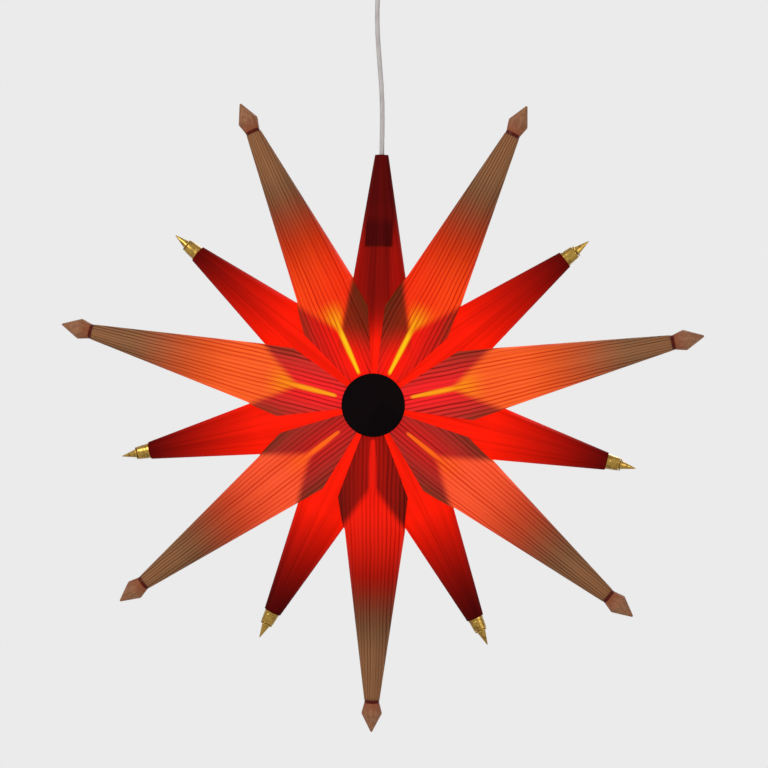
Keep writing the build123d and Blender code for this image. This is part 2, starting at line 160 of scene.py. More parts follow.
# Light through the veneer, in screen levels, for the bottom point and the lower, the side and the upper
# pair: in the slit between two red cones, past the cones near them and far from them, and over the cones by
# the slit, away from it and at the corner
slit_tones = [(232, 22, 8), (255, 102, 20), (255, 158, 22), (255, 196, 18)]
near_tones = [(255, 23, 3), (255, 80, 40), (255, 116, 20), (255, 108, 12)]
far_tones = [(255, 30, 10), (255, 90, 50), (255, 100, 40), (255, 70, 20)]
bright_tones = [(166, 13, 6), (204, 32, 30), (252, 34, 38), (255, 22, 8)]
dull_tones = [(134, 14, 8), (158, 44, 36), (198, 47, 40), (206, 26, 20)]
corner_tones = [(74, 14, 8), (98, 50, 25)]

# For the same points, where the slit starts and its half width, and where the light past the cones starts to
# fade and is gone. The blur is on either side of a cone's edge.
slit_starts = [0.033, 0.042, 0.037, 0.033]
slit_halves = [0.003, 0.0023]
fade_starts = [0.085, 0.125, 0.145, 0.125]
fade_ends = [0.24, 0.255, 0.27, 0.25]
cover_blur = 0.0045

# Light through the red film, along a point: full up to the first place and gone at the second
film_dim_along = 0.122
film_dark_along = 0.26
film_light = (255, 25, 1)

# Camera: where the photograph was taken from, and where the star's centre falls in its frame of pixels
photo_side = 768
photo_pixel = 0.00103
photo_star = (376.9, 403.4)
camera_distance = 2.0
camera_azimuth = 5.0
camera_elevation = 2.2
camera_roll = 1.05
sensor_width = 36.0

# Stage. The floor keeps its own shade out to the near radius and has the background's beyond the far one. A
# soft box has a place, the side of its square and a power in watts.
floor_height = -1.6
floor_size = 14.0
floor_grey = 0.80
floor_near = 0.6
floor_far = 2.6
backdrop_grey = 0.83
sky_strength = 0.45
soft_boxes = {
    "key": ((-1.5, -1.9, 0.8), 1.4, 38.0),
    "fill": ((2.0, -1.5, 0.0), 1.6, 16.0),
    "back": ((0.6, 2.2, 0.7), 1.4, 26.0),
}

# Directions of a piece's own (across, back, along), as rows
upright = np.array([[1.0, 0.0, 0.0], [0.0, 1.0, 0.0], [0.0, 0.0, 1.0]])
facing_front = np.array([[1.0, 0.0, 0.0], [0.0, 0.0, 1.0], [0.0, -1.0, 0.0]])
facing_back = np.array([[1.0, 0.0, 0.0], [0.0, 0.0, -1.0], [0.0, 1.0, 0.0]])


def point_axes(turn):
    """Across, back and along directions of a point, as rows."""
    angle = radians(turn)
    return np.array([[cos(angle), 0.0, -sin(angle)], [0.0, 1.0, 0.0], [sin(angle), 0.0, cos(angle)]])


# Camera


def aim_camera():
    """Camera on the photograph's line of sight, rolled as it was, with the star's centre on its pixel."""
    side = radians(camera_azimuth)
    rise = radians(camera_elevation)
    away = Vector((sin(side) * cos(rise), -cos(side) * cos(rise), sin(rise)))
    roll = Quaternion(away, radians(camera_roll))
    right = roll @ Vector((cos(side), sin(side), 0.0))
    up = away.cross(right)
    middle = photo_side / 2
    target = Vector(star_centre)
    target += right * (middle - photo_star[0]) * photo_pixel + up * (photo_star[1] - middle) * photo_pixel
    data = bpy.data.cameras.new("camera")
    data.sensor_width = sensor_width
    data.lens = sensor_width * camera_distance / (photo_side * photo_pixel)
    camera = bpy.data.objects.new("camera", data)
    bpy.context.scene.collection.objects.link(camera)
    camera.location = Vector(star_centre) + away * camera_distance
    camera.rotation_mode = "QUATERNION"
    camera.rotation_quaternion = roll @ (target - camera.location).to_track_quat("-Z", "Y")
    bpy.context.scene.camera = camera


# Shader arithmetic


class Value:
    """A socket of a tree of nodes. Arithmetic on it adds Math nodes to that tree."""

    def __init__(self, tree, socket):
        self.tree = tree
        self.socket = socket

    def math(self, operation, first, second=0.0):
        return self.tree.node("ShaderNodeMath", {"operation": operation}, {0: first, 1: second})

    def __add__(self, other):
        return self.math("ADD", self, other)

    def __radd__(self, other):
        return self.math("ADD", other, self)

    def __sub__(self, other):
        return self.math("SUBTRACT", self, other)

    def __rsub__(self, other):
        return self.math("SUBTRACT", other, self)

    def __mul__(self, other):
        return self.math("MULTIPLY", self, other)

    def __rmul__(self, other):
        return self.math("MULTIPLY", other, self)

    def __truediv__(self, other):
        return self.math("DIVIDE", self, other)

    def __rtruediv__(self, other):
        return self.math("DIVIDE", other, self)

    def __pow__(self, other):
        return self.math("POWER", self, other)

    def __rpow__(self, other):
        return self.math("POWER", other, self)

    def __abs__(self):
        return self.math("ABSOLUTE", self)

    def cosine(self):
        return self.math("COSINE", self)

    def smaller(self, other):
        return self.math("MINIMUM", self, other)

    def larger(self, other):
        return self.math("MAXIMUM", self, other)

    def smooth(self, low, high, start=0.0, end=1.0):
        """Smooth step from start at low to end at high."""
        settings = {"interpolation_type": "SMOOTHSTEP"}
        ends = {"Value": self, "From Min": low, "From Max": high, "To Min": start, "To Max": end}
        return self.tree.node("ShaderNodeMapRange", settings, ends)

    def mix(self, first, second, blend="MIX"):
        """First colour where this value is 0, and second, or its blend with the first, where it is 1."""
        settings = {"data_type": "RGBA", "blend_type": blend, "clamp_factor": True}
        return self.tree.node("ShaderNodeMix", settings, {0: self, 6: first, 7: second}, 2)

    def times(self, tone):
        """A colour scaled by this value."""
        return self.mix(black, tone)


class Tree:
    """The nodes of a material or of the world."""

    def __init__(self, tree):
        self.tree = tree

    def node(self, kind, settings=None, inputs=None, output=0):
        """One output of a new node. Its settings are set first, then its inputs, by name or number."""
        made = self.tree.nodes.new(kind)
        for key, setting in (settings or {}).items():
            setattr(made, key, setting)
        for key, value in (inputs or {}).items():
            if isinstance(value, Value):
                self.tree.links.new(value.socket, made.inputs[key])
            else:
                made.inputs[key].default_value = value
        return Value(self, made.outputs[output])

    def show(self, shader, end):
        """Link a shader to the node that ends the tree."""
        self.tree.links.new(shader.socket, self.tree.nodes[end].inputs["Surface"])


socket_names = {
    "roughness": "Roughness",
    "metallic": "Metallic",
    "gloss": "Specular IOR Level",
    "glow": "Emission Strength",
    "bend": "IOR",
    "clear": "Transmission Weight",
}


class Finish(Tree):
    """One material: its shader, what its pieces say of themselves, and its noises."""

    def __init__(self, name, **fixed):
        self.material = bpy.data.materials.new(name)
        self.material.use_nodes = True
        super().__init__(self.material.node_tree)
        self.shader = self.tree.nodes["Principled BSDF"]
        for key, value in fixed.items():
            self.shader.inputs[socket_names[key]].default_value = value

    def set(self, name, value):
        """Link a value to one of the shader's sockets."""
        self.tree.links.new(value.socket, self.shader.inputs[name])

    def own(self, name, output="Fac"):
        """A piece's own attribute."""
        return self.node("ShaderNodeAttribute", {"attribute_name": name}, None, output)

    def level(self):
        """How high a piece's point stands, from its lift of -1 to 1."""
        return self.own("lift") * 0.5 + 0.5

    def local(self):
        """A piece's own (across, back, along)."""
        return self.split(self.own("local", "Vector"))

    def place(self):
        """X, Y and Z in the object's frame."""
        return self.split(self.node("ShaderNodeTexCoord", None, None, "Object"))

    def split(self, vector):
        """The three numbers of a vector."""
        return [self.node("ShaderNodeSeparateXYZ", None, {0: vector}, axis) for axis in range(3)]

    def noise(self, x, y, z, detail=2.0):
        """Noise of about 0 to 1, one cell a unit. A distance times 500 has cells of 2 mm."""
        vector = self.node("ShaderNodeCombineXYZ", None, {0: x, 1: y, 2: z})
        return self.node("ShaderNodeTexNoise", None, {"Vector": vector, "Scale": 1.0, "Detail": detail})

    def bump(self, height, distance, strength):
        """Relief from a height of 0 to 1."""
        inputs = {"Height": height, "Distance": distance, "Strength": strength}
        self.set("Normal", self.node("ShaderNodeBump", None, inputs))


def colour(red, green, blue):
    """Linear colour with full alpha from screen levels of 0 to 255."""
    levels = np.array([red, green, blue]) / 255
    linear = np.where(levels <= 0.04045, levels / 12.92, ((levels + 0.055) / 1.055) ** 2.4)
    return (*linear.tolist(), 1.0)


def grey(share):
    """Grey colour with full alpha."""
    return (share, share, share, 1.0)


black = grey(0.0)


# Finishes


def colour_by_level(level, tones):
    """Colour that goes from the bottom point's tone to those of the lower, the side and the upper pair.

    A shorter list keeps its last tone on the points above.
    """
    light = colour(*tones[0])
    for low, high, tone in zip(point_levels, point_levels[1:], tones[1:]):
        light = level.smooth(low, high).mix(light, colour(*tone))
    return light


def number_by_level(level, numbers):
    """Number that goes from the bottom point's to those of the lower, the side and the upper pair.

    A shorter list keeps its last number on the points above.
    """
    total = numbers[0]
    for low, high, before, after in zip(point_levels, point_levels[1:], numbers, numbers[1:]):
        total = total + level.smooth(low, high, 0.0, after - before)
    return total


def veneer_grain(finish, across, along, seed):
    """Dark lines of the veneer: 0 between them and 1 on them.

    The lines draw together as the root of what the grain's gather leaves, and waver slowly. One noise makes
    them strong in some stretches and faint in others, and a finer one adds thin lines.
    """
    outward = (along - veneer_corner_along) / (veneer_end_along - veneer_corner_along)
    width = (1.0 - grain_gather * outward.larger(0.0).smaller(1.0)) ** 0.5
    waver = finish.noise(along * 14.0, seed * 3.7, across * 20.0)
    line = across / width / grain_pitch + (waver - 0.5) * grain_waver
    ring = 0.5 - 0.5 * (line * (2 * pi)).cosine()
    strong = finish.noise(line * 0.6, along * 5.0, seed * 5.3)
    fine = finish.noise(line * 3.6, along * 8.0, seed * 8.1, 3.0)
    return ring**4.0 * strong.smooth(0.28, 0.68, 0.3, 1.0) + fine.smooth(0.45, 0.78) * 0.42


def red_behind(beside, along):
    """1 where a red cone lies behind a sheet: inside the cone's radius about a line half a sector away."""
    red_along = along * cos(lean) + beside * sin(lean)
    red_across = along * sin(lean) - beside * cos(lean)
    return (red_root_radius - red_taper * red_along - red_across).smooth(-cover_blur, cover_blur)


def slit_behind(level, beside, along):
    """1 where the slit between two red cones lies behind a sheet's middle line. It widens outwards."""
    past = along - number_by_level(level, slit_starts)
    half = number_by_level(level, slit_halves) * past.smooth(0.0, 0.03, 0.65, 1.0)
    return (1.0 - (beside / half).smooth(0.4, 1.6)) * past.smooth(0.0, 0.005)


def light_past_cones(level, along, from_middle):
    """Light in the V past the red cones: near tones, then far ones, fading along the point.

    The upper pair is redder by the middle of the star, where the top red point throws its light.
    """
    near = colour_by_level(level, near_tones)
    far = colour_by_level(level, far_tones)
    light = along.smooth(0.085, 0.12).mix(near, far)
    reddened = (1.0 - from_middle.smooth(0.030, 0.080)) * level.smooth(0.75, 0.9)
    light = (reddened * 0.7).mix(light, colour(246, 38, 10))
    fade_start = number_by_level(level, fade_starts)
    fade_end = number_by_level(level, fade_ends)
    return (1.0 - along.smooth(fade_start, fade_end)).times(light)


def light_over_cones(level, away, from_middle, rise):
    """Light through sheet and red cone: bright by the slit, dull far from it, and dark over the top point.

    away is 0 by the slit near the hub and 1 at the sheet's corner. rise is measured up from the star's
    centre and from_middle to the side of it.
    """
    bright = colour_by_level(level, bright_tones)
    light = away.smooth(0.1, 1.0).mix(bright, colour_by_level(level, dull_tones))
    light = (away.smooth(0.80, 1.0) * 0.45).mix(light, colour_by_level(level, corner_tones))
    over_top = (red_root_radius - red_taper * rise - from_middle).smooth(-0.002, 0.002)
    shaded = over_top * rise.smooth(0.042, 0.086)
    return (shaded * 0.8).mix(light, colour(84, 36, 12))


def veneer_finish():
    """Striped veneer lit from inside.

    The sheet glows where no red cone lies behind it: along the slit on its middle line, then in a V that
    opens past the red cones and fades towards the tip. Over the red cones it is a dull red, browner towards
    its corners. The lamp is above the centre, so the high points are yellower.
    """
    finish = Finish("striped_veneer", roughness=0.62, gloss=0.02, glow=1.0)
    across, _, along = finish.local()
    x, _, z = finish.place()
    from_middle = abs(x - star_centre[0])
    level = finish.level()
    beside = abs(across)
    grain = veneer_grain(finish, across, along, finish.own("seed"))

    covered = red_behind(beside, along)
    slit = covered * slit_behind(level, beside, along)
    over_red = covered - slit
    apex = (1.0 - beside.smooth(0.0, 0.016)) * (1.0 - along.smooth(0.085, 0.118)) * (1.0 - covered)
    half = veneer_corner_half * along.smaller(veneer_corner_along) / veneer_corner_along
    away = (beside / half).smaller(1.0).smooth(0.1, 1.0) * 0.55 + along.smooth(0.04, 0.105) * 0.45

    slit_light = colour_by_level(level, slit_tones)
    light = (apex * 0.65).mix(light_past_cones(level, along, from_middle), slit_light)
    light = over_red.mix(light, light_over_cones(level, away, from_middle, z - star_centre[2]))
    light = slit.mix(light, slit_light)

    # The lines are faint in the slit, and by the slit of the upper pair
    line_tint = over_red.mix((0.58, 0.22, 0.14, 1.0), (0.34, 0.2, 0.24, 1.0))
    calm = over_red * (1.0 - away.smooth(0.15, 0.75)) * level.smooth(*point_levels[2:])
    lines = grain * (1.0 - slit * 0.85 - calm * 0.6)
    finish.set("Emission Color", lines.mix(light, line_tint, "MULTIPLY"))

    # Plain veneer shows where little light comes through. Nearer the hub the base colour is painted a very
    # dark red, under the painted glow.
    plain = grain.mix(colour(142, 97, 65), colour(76, 46, 28))
    finish.set("Base Color", along.smooth(0.17, 0.27).mix(colour(26, 8, 4), plain))
    finish.bump(grain, 0.0002, 0.4)
    return finish.material


def veneer_edge_finish():
    """Cut edge of a sheet, where the lamp shines out of the seam in uneven streaks."""
    finish = Finish("veneer_edge", roughness=0.6, glow=1.0)
    _, _, along = finish.local()
    streak = finish.noise(along * 160.0, finish.own("seed"), 0.0)
    shine = (1.0 - along.smooth(0.11, 0.30)) * (0.55 + 0.45 * streak)
    finish.set("Emission Color", shine.times(colour(255, 196, 140)))
    finish.set("Base Color", streak.mix(colour(196, 158, 120), colour(160, 122, 88)))
    return finish.material


def film_light_of_point(along, level):
    """Light of a red point: full near the hub, then a power of the way left, higher on low points."""
    left = ((film_dark_along - along) / (film_dark_along - film_dim_along)).larger(0.0).smaller(1.0)
    fade = left ** level.smooth(0.1, 0.4, 2.3, 1.5)
    return fade.times(colour(*film_light))


def film_light_of_top(along, beside):
    """Light of the top point: dim past the hub, darker in the middle and at the end, dark by the holder."""
    band = 1.0 - beside.smooth(0.006, 0.016)
    holder = 1.0 - beside.smooth(holder_radius - 0.001, holder_radius + 0.002)
    holder = holder * along.smooth(holder_mouth_along - 0.002, holder_mouth_along + 0.001)
    light = along.smooth(0.06, 0.115).mix(colour(*film_light), colour(146, 13, 5))
    light = (along.smooth(0.055, 0.10) * band * 0.7).mix(light, colour(96, 7, 2))
    light = along.smooth(0.15, 0.215).mix(light, colour(58, 4, 3))
    return (holder * (1.0 - along.smooth(0.18, 0.20) * 0.8)).mix(light, colour(22, 1, 1))


def red_film_finish(name, top):
    """Red film lit from the hub, with lengthwise streaks, which are stronger on the shaded top point."""
    finish = Finish(name, gloss=0.02, glow=1.0)
    across, back, along = finish.local()
    seed = finish.own("seed")
    turned = across / (red_root_radius - red_taper * along)
    fine = finish.noise(turned * 13.0, along * 5.0, seed * 4.9, 3.0)
    broad = finish.noise(turned * 4.0, along * 2.0, seed * 2.3 + back.smooth(-0.001, 0.001), 1.0)
    streak = fine.smooth(0.42, 0.74) * 0.6 + broad.smooth(0.4, 0.62) * 0.4
    if top:
        light = (1.0 - streak * 0.42).times(film_light_of_top(along, abs(across)))
    else:
        light = (1.0 - streak * 0.3).times(film_light_of_point(along, finish.level()))
    finish.set("Emission Color", light)
    finish.set("Base Color", streak.mix(colour(74, 6, 5), colour(50, 4, 4)))
    finish.set("Roughness", streak * 0.16 + 0.66)
    finish.bump(streak, 0.0002, 0.3)
    return finish.material


def turned_wood_finish():
    """Turned wood: grain along the tip, fine tool rings across it, and a painted warm glow at its root."""
    finish = Finish("turned_wood", gloss=0.15, glow=1.0)
    across, back, along = finish.local()
    seed = finish.own("seed")
    grain = finish.noise(across * 520.0, back * 520.0 + seed * 9.0, along * 26.0, 3.0)
    pore = finish.noise(across * 1900.0, back * 1900.0, along * 90.0 + seed * 5.0)
    tool = finish.noise(along * 2600.0, seed, 0.0, 1.0)
    tone = grain.smooth(0.34, 0.66)
    body = tone.mix(colour(146, 100, 70), colour(126, 82, 56))
    body = (pore.smooth(0.58, 0.72) * 0.3).mix(body, colour(98, 60, 38))
    # Painted light: the star's red light on the tip's root, mixed into its base colour and its emission
    root = 1.0 - along.smooth(veneer_end_along, veneer_end_along + 0.018)
    finish.set("Base Color", (root * 0.7).mix(body, colour(120, 54, 24)))
    finish.set("Emission Color", (root * 0.4).times(colour(70, 16, 10)))
    finish.set("Roughness", tone * 0.12 + 0.52)
    finish.bump(tool * 0.5 + tone * 0.5, 0.0001, 0.6)
    return finish.material


def ring_finish():
    """Dark red lacquer, worn paler in spots."""
    finish = Finish("dark_red_lacquer", gloss=0.1)
    across, back, along = finish.local()
    wear = finish.noise(across * 700.0, back * 700.0, along * 700.0, 3.0).smooth(0.52, 0.78)
    finish.set("Base Color", wear.mix(colour(74, 15, 6), colour(96, 28, 14)))
    finish.set("Roughness", wear * 0.3 + 0.32)
    return finish.material


def brass_finish():
    """Turned brass: fine rings of the tool, and brown tarnish in patches."""
    finish = Finish("turned_brass", metallic=1.0)
    across, back, along = finish.local()
    seed = finish.own("seed")
    tool = finish.noise(along * 3200.0, seed * 3.0, 0.0)
    patch = finish.noise(across * 260.0, back * 260.0 + seed * 6.0, along * 260.0, 3.0).smooth(0.45, 0.75)
    finish.set("Base Color", patch.mix(colour(172, 138, 66), colour(116, 86, 42)))
    finish.set("Roughness", tool * 0.1 + patch * 0.16 + 0.18)
    finish.bump(tool, 0.00003, 0.3)
    return finish.material


def moulded_finish(name, main, other, rough, grain_size, depth=0.0001, gloss=0.4):
    """Moulded plastic: a fine even grain, with slow changes between two tones."""
    finish = Finish(name, gloss=gloss)
    x, y, z = finish.place()
    grain = finish.noise(x / grain_size, y / grain_size, z / grain_size, 3.0)
    slow = finish.noise(x * 24.0, y * 24.0, z * 24.0).smooth(0.35, 0.7)
    finish.set("Base Color", slow.mix(colour(*main), colour(*other)))
    finish.set("Roughness", grain * 0.16 + (rough - 0.08))
    finish.bump(grain, depth, 0.5)
    return finish.material


def plated_finish(name, main, other, rough):
    """Plated metal of two tones, with fine scratches and dull patches."""
    finish = Finish(name, metallic=1.0)
    x, y, z = finish.place()
    scratch = finish.noise(x * 2400.0, y * 180.0, z * 260.0)
    patch = finish.noise(x * 130.0, y * 130.0, z * 130.0, 3.0).smooth(0.42, 0.72)
    finish.set("Base Color", patch.mix(colour(*main), colour(*other)))
    finish.set("Roughness", scratch * 0.16 + patch * 0.12 + (rough - 0.1))
    finish.bump(scratch, 0.00005, 0.5)
    return finish.material


def glass_finish():
    """Clear bulb glass with a warm tint."""
    finish = Finish("bulb_glass", roughness=0.04, bend=1.45, clear=1.0)
    x, y, z = finish.place()
    film = finish.noise(x * 60.0, y * 60.0, z * 60.0).smooth(0.4, 0.7)
    finish.set("Base Color", film.mix(colour(255, 246, 232), colour(255, 236, 208)))
    return finish.material


def filament_finish():
    """Glowing filament rods, brightest in their middle."""
    finish = Finish("glowing_filament", roughness=0.5, glow=3.0)
    x, y, z = finish.place()
    low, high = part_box("bulb_filaments")
    from_middle = abs((z - (low.z + high.z) / 2) / ((high.z - low.z) / 2))
    beads = finish.noise(z * 900.0, x * 300.0, y * 300.0, 1.0)
    light = beads.mix(colour(255, 190, 70), colour(255, 224, 130))
    finish.set("Emission Color", (1.0 - from_middle * 0.5).times(light))
    finish.set("Base Color", beads.mix(colour(240, 200, 90), colour(220, 170, 60)))
    return finish.material


def sheath_finish():
    """Pale cord sheath: a dull skin with faint scuffs that run along it."""
    finish = Finish("pale_sheath", gloss=0.35)
    x, y, z = finish.place()
    scuff = finish.noise(x * 900.0, y * 900.0, z * 70.0, 3.0).smooth(0.45, 0.75)
    finish.set("Base Color", scuff.mix(colour(178, 172, 170), colour(150, 142, 140)))
    finish.set("Roughness", scuff * 0.2 + 0.42)
    finish.bump(scuff, 0.0001, 0.4)
    return finish.material


# Meshes


def grid_faces(rows, columns, start):
    """Corners of each cell of a grid whose points are numbered row by row from start."""
    index = start + np.arange(rows * columns).reshape(rows, columns)
    cells = [index[:-1, :-1], index[:-1, 1:], index[1:, 1:], index[1:, :-1]]
    return np.stack(cells, axis=-1).reshape(-1, 4)


def make_piece(name, grids, axes, origin, lift=0.0, seed=0.0, closed=True):
    """One object over grids of local points (rows, columns, 3), set along axes from an origin.

    Its points carry their local place and the piece's lift and seed as attributes. Points that meet are
    welded. A closed shape then has its faces turned outwards.
    """
    local = np.concatenate([grid.reshape(-1, 3) for grid in grids])
    sizes = [grid.shape[0] * grid.shape[1] for grid in grids]
    starts = np.cumsum([0, *sizes])
    faces = np.concatenate([grid_faces(*grid.shape[:2], start) for grid, start in zip(grids, starts)])
    mesh = bpy.data.meshes.new(name)
    mesh.from_pydata((origin + local @ axes).tolist(), [], faces.tolist())
    mesh.attributes.new("local", "FLOAT_VECTOR", "POINT").data.foreach_set("vector", local.ravel())
    for key, number in (("lift", lift), ("seed", seed)):
        mesh.attributes.new(key, "FLOAT", "POINT").data.foreach_set("value", np.full(len(local), number))
    weld = bmesh.new()
    weld.from_mesh(mesh)
    bmesh.ops.remove_doubles(weld, verts=weld.verts, dist=1e-6)
    if closed:
        bmesh.ops.recalc_face_normals(weld, faces=weld.faces)
    weld.to_mesh(mesh)
    weld.free()
    mesh.polygons.foreach_set("use_smooth", np.ones(len(mesh.polygons), bool))
    mesh.set_sharp_from_angle(angle=radians(32))
    piece = bpy.data.objects.new(name, mesh)
    bpy.context.scene.collection.objects.link(piece)
    return piece


def dress(piece, body, slot, nodes, *materials):
    """Say what a piece rides on, stands for and is finished in."""
    for material in materials:
        piece.data.materials.append(material)
    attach(piece, body)
    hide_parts(*nodes)


def add_wall(piece, thickness, rim=0):
    """Give an open sheet its thickness, inwards from its outer face. Its rim's material is rim slots on."""
    wall = piece.modifiers.new("wall", "SOLIDIFY")
    wall.thickness = thickness
    wall.offset = -1.0
    wall.use_even_offset = True
    wall.material_offset_rim = rim


def lathe_grid(outline, columns=64):
    """Outline of (radius, along) points, carried once round the along axis."""
    angle = np.linspace(0.0, 2 * pi, columns + 1)
    radius, along = outline[:, :1], outline[:, 1:]
    return np.stack([radius * np.cos(angle), radius * np.sin(angle), along + 0.0 * angle], axis=-1)


def eased(corners, steps=6):
    """Outline through (radius, along, ease) corners.

    Each corner but the first and last becomes a parabola that starts and ends its ease away from it.
    """
    corners, eases = np.split(np.array(corners, float), [2], axis=1)
    share = np.linspace(0.0, 1.0, steps)[:, None]
    parts = [corners[:1]]
    for before, corner, after, ease in zip(corners, corners[1:], corners[2:], eases[1:]):
        start = corner + (before - corner) * ease / np.linalg.norm(before - corner)
        end = corner + (after - corner) * ease / np.linalg.norm(after - corner)
        parts.append((1 - share) ** 2 * start + 2 * share * (1 - share) * corner + share**2 * end)
    return np.concatenate([*parts, corners[-1:]])


# Shapes of the star


def red_height(along, across):
    """Height of a red cone's outer face, or 0 beside it."""
    radius = red_root_radius - red_taper * along
    return np.sqrt(np.maximum(0.0, radius**2 - across**2))


def veneer_half(along):
    """Half width of a sheet: straight lines from the centre to the corner, then on to the tip."""
    stations = [0.0, veneer_corner_along, veneer_end_along]
    return np.interp(along, stations, [0.0, veneer_corner_half, veneer_end_radius])


def veneer_edge_height(along):
    """Height of a sheet's long edges: just over the red cone a step nearer the hub, then at the seam."""
    back = np.where(along > veneer_corner_along + 1e-6, along - veneer_step, along)
    half = veneer_half(back)
    under = red_height(back * cos(lean) + half * sin(lean), back * sin(lean) - half * cos(lean))
    return np.where(under > 0.0, under + clearance + veneer_thickness, veneer_seam / 2)


def veneer_grid(side, columns=33, rows=90):
    """Sheet of arched bands: an arc from edge to edge over the crown at each station, and lines between.

    The arc through two edges at a half width and a crown a rise above them has the radius
    (half squared + rise squared) / (2 rise). side is -1 for the front sheet and 1 for the back.
    """
    steps = np.arange(veneer_corner_along, veneer_end_along, veneer_step)
    over_red = veneer_edge_height(steps) > veneer_seam / 2
    stations = np.concatenate([[veneer_inner_along], steps[: over_red.sum() + 1], [veneer_end_along]])
    half = veneer_half(stations)
    inner = red_root_radius - red_taper * veneer_inner_along + veneer_flap_rise
    crown = np.interp(stations, [veneer_inner_along, veneer_end_along], [inner, veneer_end_radius])
    rise = crown - veneer_edge_height(stations)
    arc = (half**2 + rise**2) / (2 * rise)
    turn = np.arcsin(half / arc)[:, None] * np.linspace(-1.0, 1.0, columns)
    across = arc[:, None] * np.sin(turn)
    height = crown[:, None] + arc[:, None] * (np.cos(turn) - 1)
    along = np.unique(np.concatenate([stations, np.linspace(veneer_inner_along, veneer_end_along, rows)]))
    before = np.clip(np.searchsorted(stations, along, side="right") - 1, 0, len(stations) - 2)
    share = ((along - stations[before]) / (stations[before + 1] - stations[before]))[:, None]
    across = across[before] * (1 - share) + across[before + 1] * share
    height = height[before] * (1 - share) + height[before + 1] * share
    grid = np.stack([across, side * height, along[:, None] + 0.0 * across], axis=-1)
    return grid if side > 0 else grid[:, ::-1]


def red_grids(end_along, columns=41, rows=80):
    """Front and back half of a red cone: arcs about its axis, cut short by the slit beside it near the hub.

    An arc at a place along the cone ends where its across reaches the slit's edge, or at its full half
    circle past the corner where the slit leaves the cone.
    """
    slit_start = red_slit / 2 / sin(lean)
    corner = (red_root_radius + slit_start * tan(lean)) / (red_taper + tan(lean))
    along = np.sort(np.append(np.linspace(red_start_along, end_along, rows), corner))
    radius = red_root_radius - red_taper * along
    limit = np.minimum(1.0, (along - slit_start) * tan(lean) / radius)
    limit = np.where(along >= corner, 1.0, limit)
    turn = np.arcsin(limit)[:, None] * np.linspace(-1.0, 1.0, columns)
    across = radius[:, None] * np.sin(turn)
    height = radius[:, None] * np.cos(turn)
    depth = along[:, None] + 0.0 * across
    front = np.stack([across, -height, depth], axis=-1)[:, ::-1]
    return [front, np.stack([across, height, depth], axis=-1)]


def wood_outline():
    """Half section of a turned tip: plug, flared shoulder with an eased edge, and cone with a blunt end."""
    root = veneer_end_along + ring_length
    corners = [
        (0.0, root - wood_plug_length, 0.0),
        (wood_plug_radius, root - wood_plug_length, 0.0002),
        (wood_plug_radius, root, 0.0004),
        (ring_radius, root, 0.0005),
        (wood_shoulder_radius, root + wood_shoulder_along, 0.0012),
        (wood_end_radius, root + wood_length, 0.0005),
        (0.0, root + wood_length, 0.0),
    ]
    return eased(corners)


def ring_outline():
    """Half section of a tip's ring: a round band between veneer and wood."""
    start = veneer_end_along
    end = start + ring_length
    corners = [
        (ring_bore, start, 0.0),
        (ring_radius, start, 0.0005),
        (ring_radius, end, 0.0005),
        (ring_bore, end, 0.0002),
        (ring_bore, start, 0.0),
    ]
    return eased(corners)


def brass_outline():
    """Half section of a brass tip: plug, tapered sleeve with a turned groove, neck, flange and spike."""
    start = red_end_along
    groove = start + groove_along
    sleeve = start + sleeve_length
    flange = sleeve + neck_length
    spike = flange + flange_length
    corners = [
        (0.0, start - brass_plug_length, 0.0),
        (brass_plug_radius, start - brass_plug_length, 0.0002),
        (brass_plug_radius, start, 0.0002),
        (sleeve_root_radius, start, 0.0002),
        (groove_near_radius, groove, 0.0002),
        (groove_radius, groove + groove_half, 0.0002),
        (groove_far_radius, groove + 2 * groove_half, 0.0002),
        (sleeve_end_radius, sleeve, 0.0006),
        (neck_radius, sleeve, 0.0003),
        (neck_radius, flange, 0.0003),
        (flange_radius, flange, 0.0004),
        (flange_radius, spike, 0.0004),
        (spike_root_radius, spike, 0.0004),
        (spike_end_radius, spike + spike_length, 0.0002),
        (0.0, spike + spike_length, 0.0),
    ]
    return eased(corners)


def cap_outline():
    """Half section of a hub cap, as (radius, height): spigot, underside, eased rim and parabolic dome."""
    seat = -cap_high.y + cap_spigot_length
    top = -cap_low.y
    spigot = seat - cap_spigot_length
    share = np.linspace(1.0, 0.0, 16)
    dome = np.stack([cap_dome_radius * share, top - cap_dome_drop * share**2], axis=-1)
    corners = [
        (0.0, seat, 0.0),
        (cap_spigot_bore, seat, 0.0003),
        (cap_spigot_bore, spigot, 0.0003),
        (cap_spigot_radius, spigot, 0.0003),
        (cap_spigot_radius, seat, 0.0003),
        (cap_radius, seat, 0.0008),
        (cap_radius, top - cap_rim_drop, 0.0016),
        (cap_dome_radius, top - cap_dome_drop, 0.0),
    ]
    return np.concatenate([eased(corners), dome[1:]])


# Shapes of the ceiling fitting


def canopy_outline():
    """Half section of the canopy: a cup with a quarter-round shoulder, open above, with an eased rim."""
    low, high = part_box("canopy")
    radius = high.x
    turn = np.linspace(0.0, pi / 2, 14)
    middle = np.array([radius - canopy_shoulder, low.z + canopy_shoulder])
    quarter = np.stack([np.sin(turn), -np.cos(turn)], axis=-1)
    outer = middle + canopy_shoulder * quarter
    inner = middle + (canopy_shoulder - canopy_wall) * quarter
    rim_start = high.z - canopy_rim_height
    rim = eased([
        (radius, rim_start, 0.0),
        (radius, high.z, 0.0007),
        (radius - canopy_wall, high.z, 0.0007),
        (radius - canopy_wall, rim_start, 0.0),
    ])
    start = np.array([[canopy_hole_radius, low.z]])
    end = np.array([[canopy_hole_radius, low.z + canopy_wall], [canopy_hole_radius, low.z]])
    return np.concatenate([start, outer, rim, inner[::-1], end])


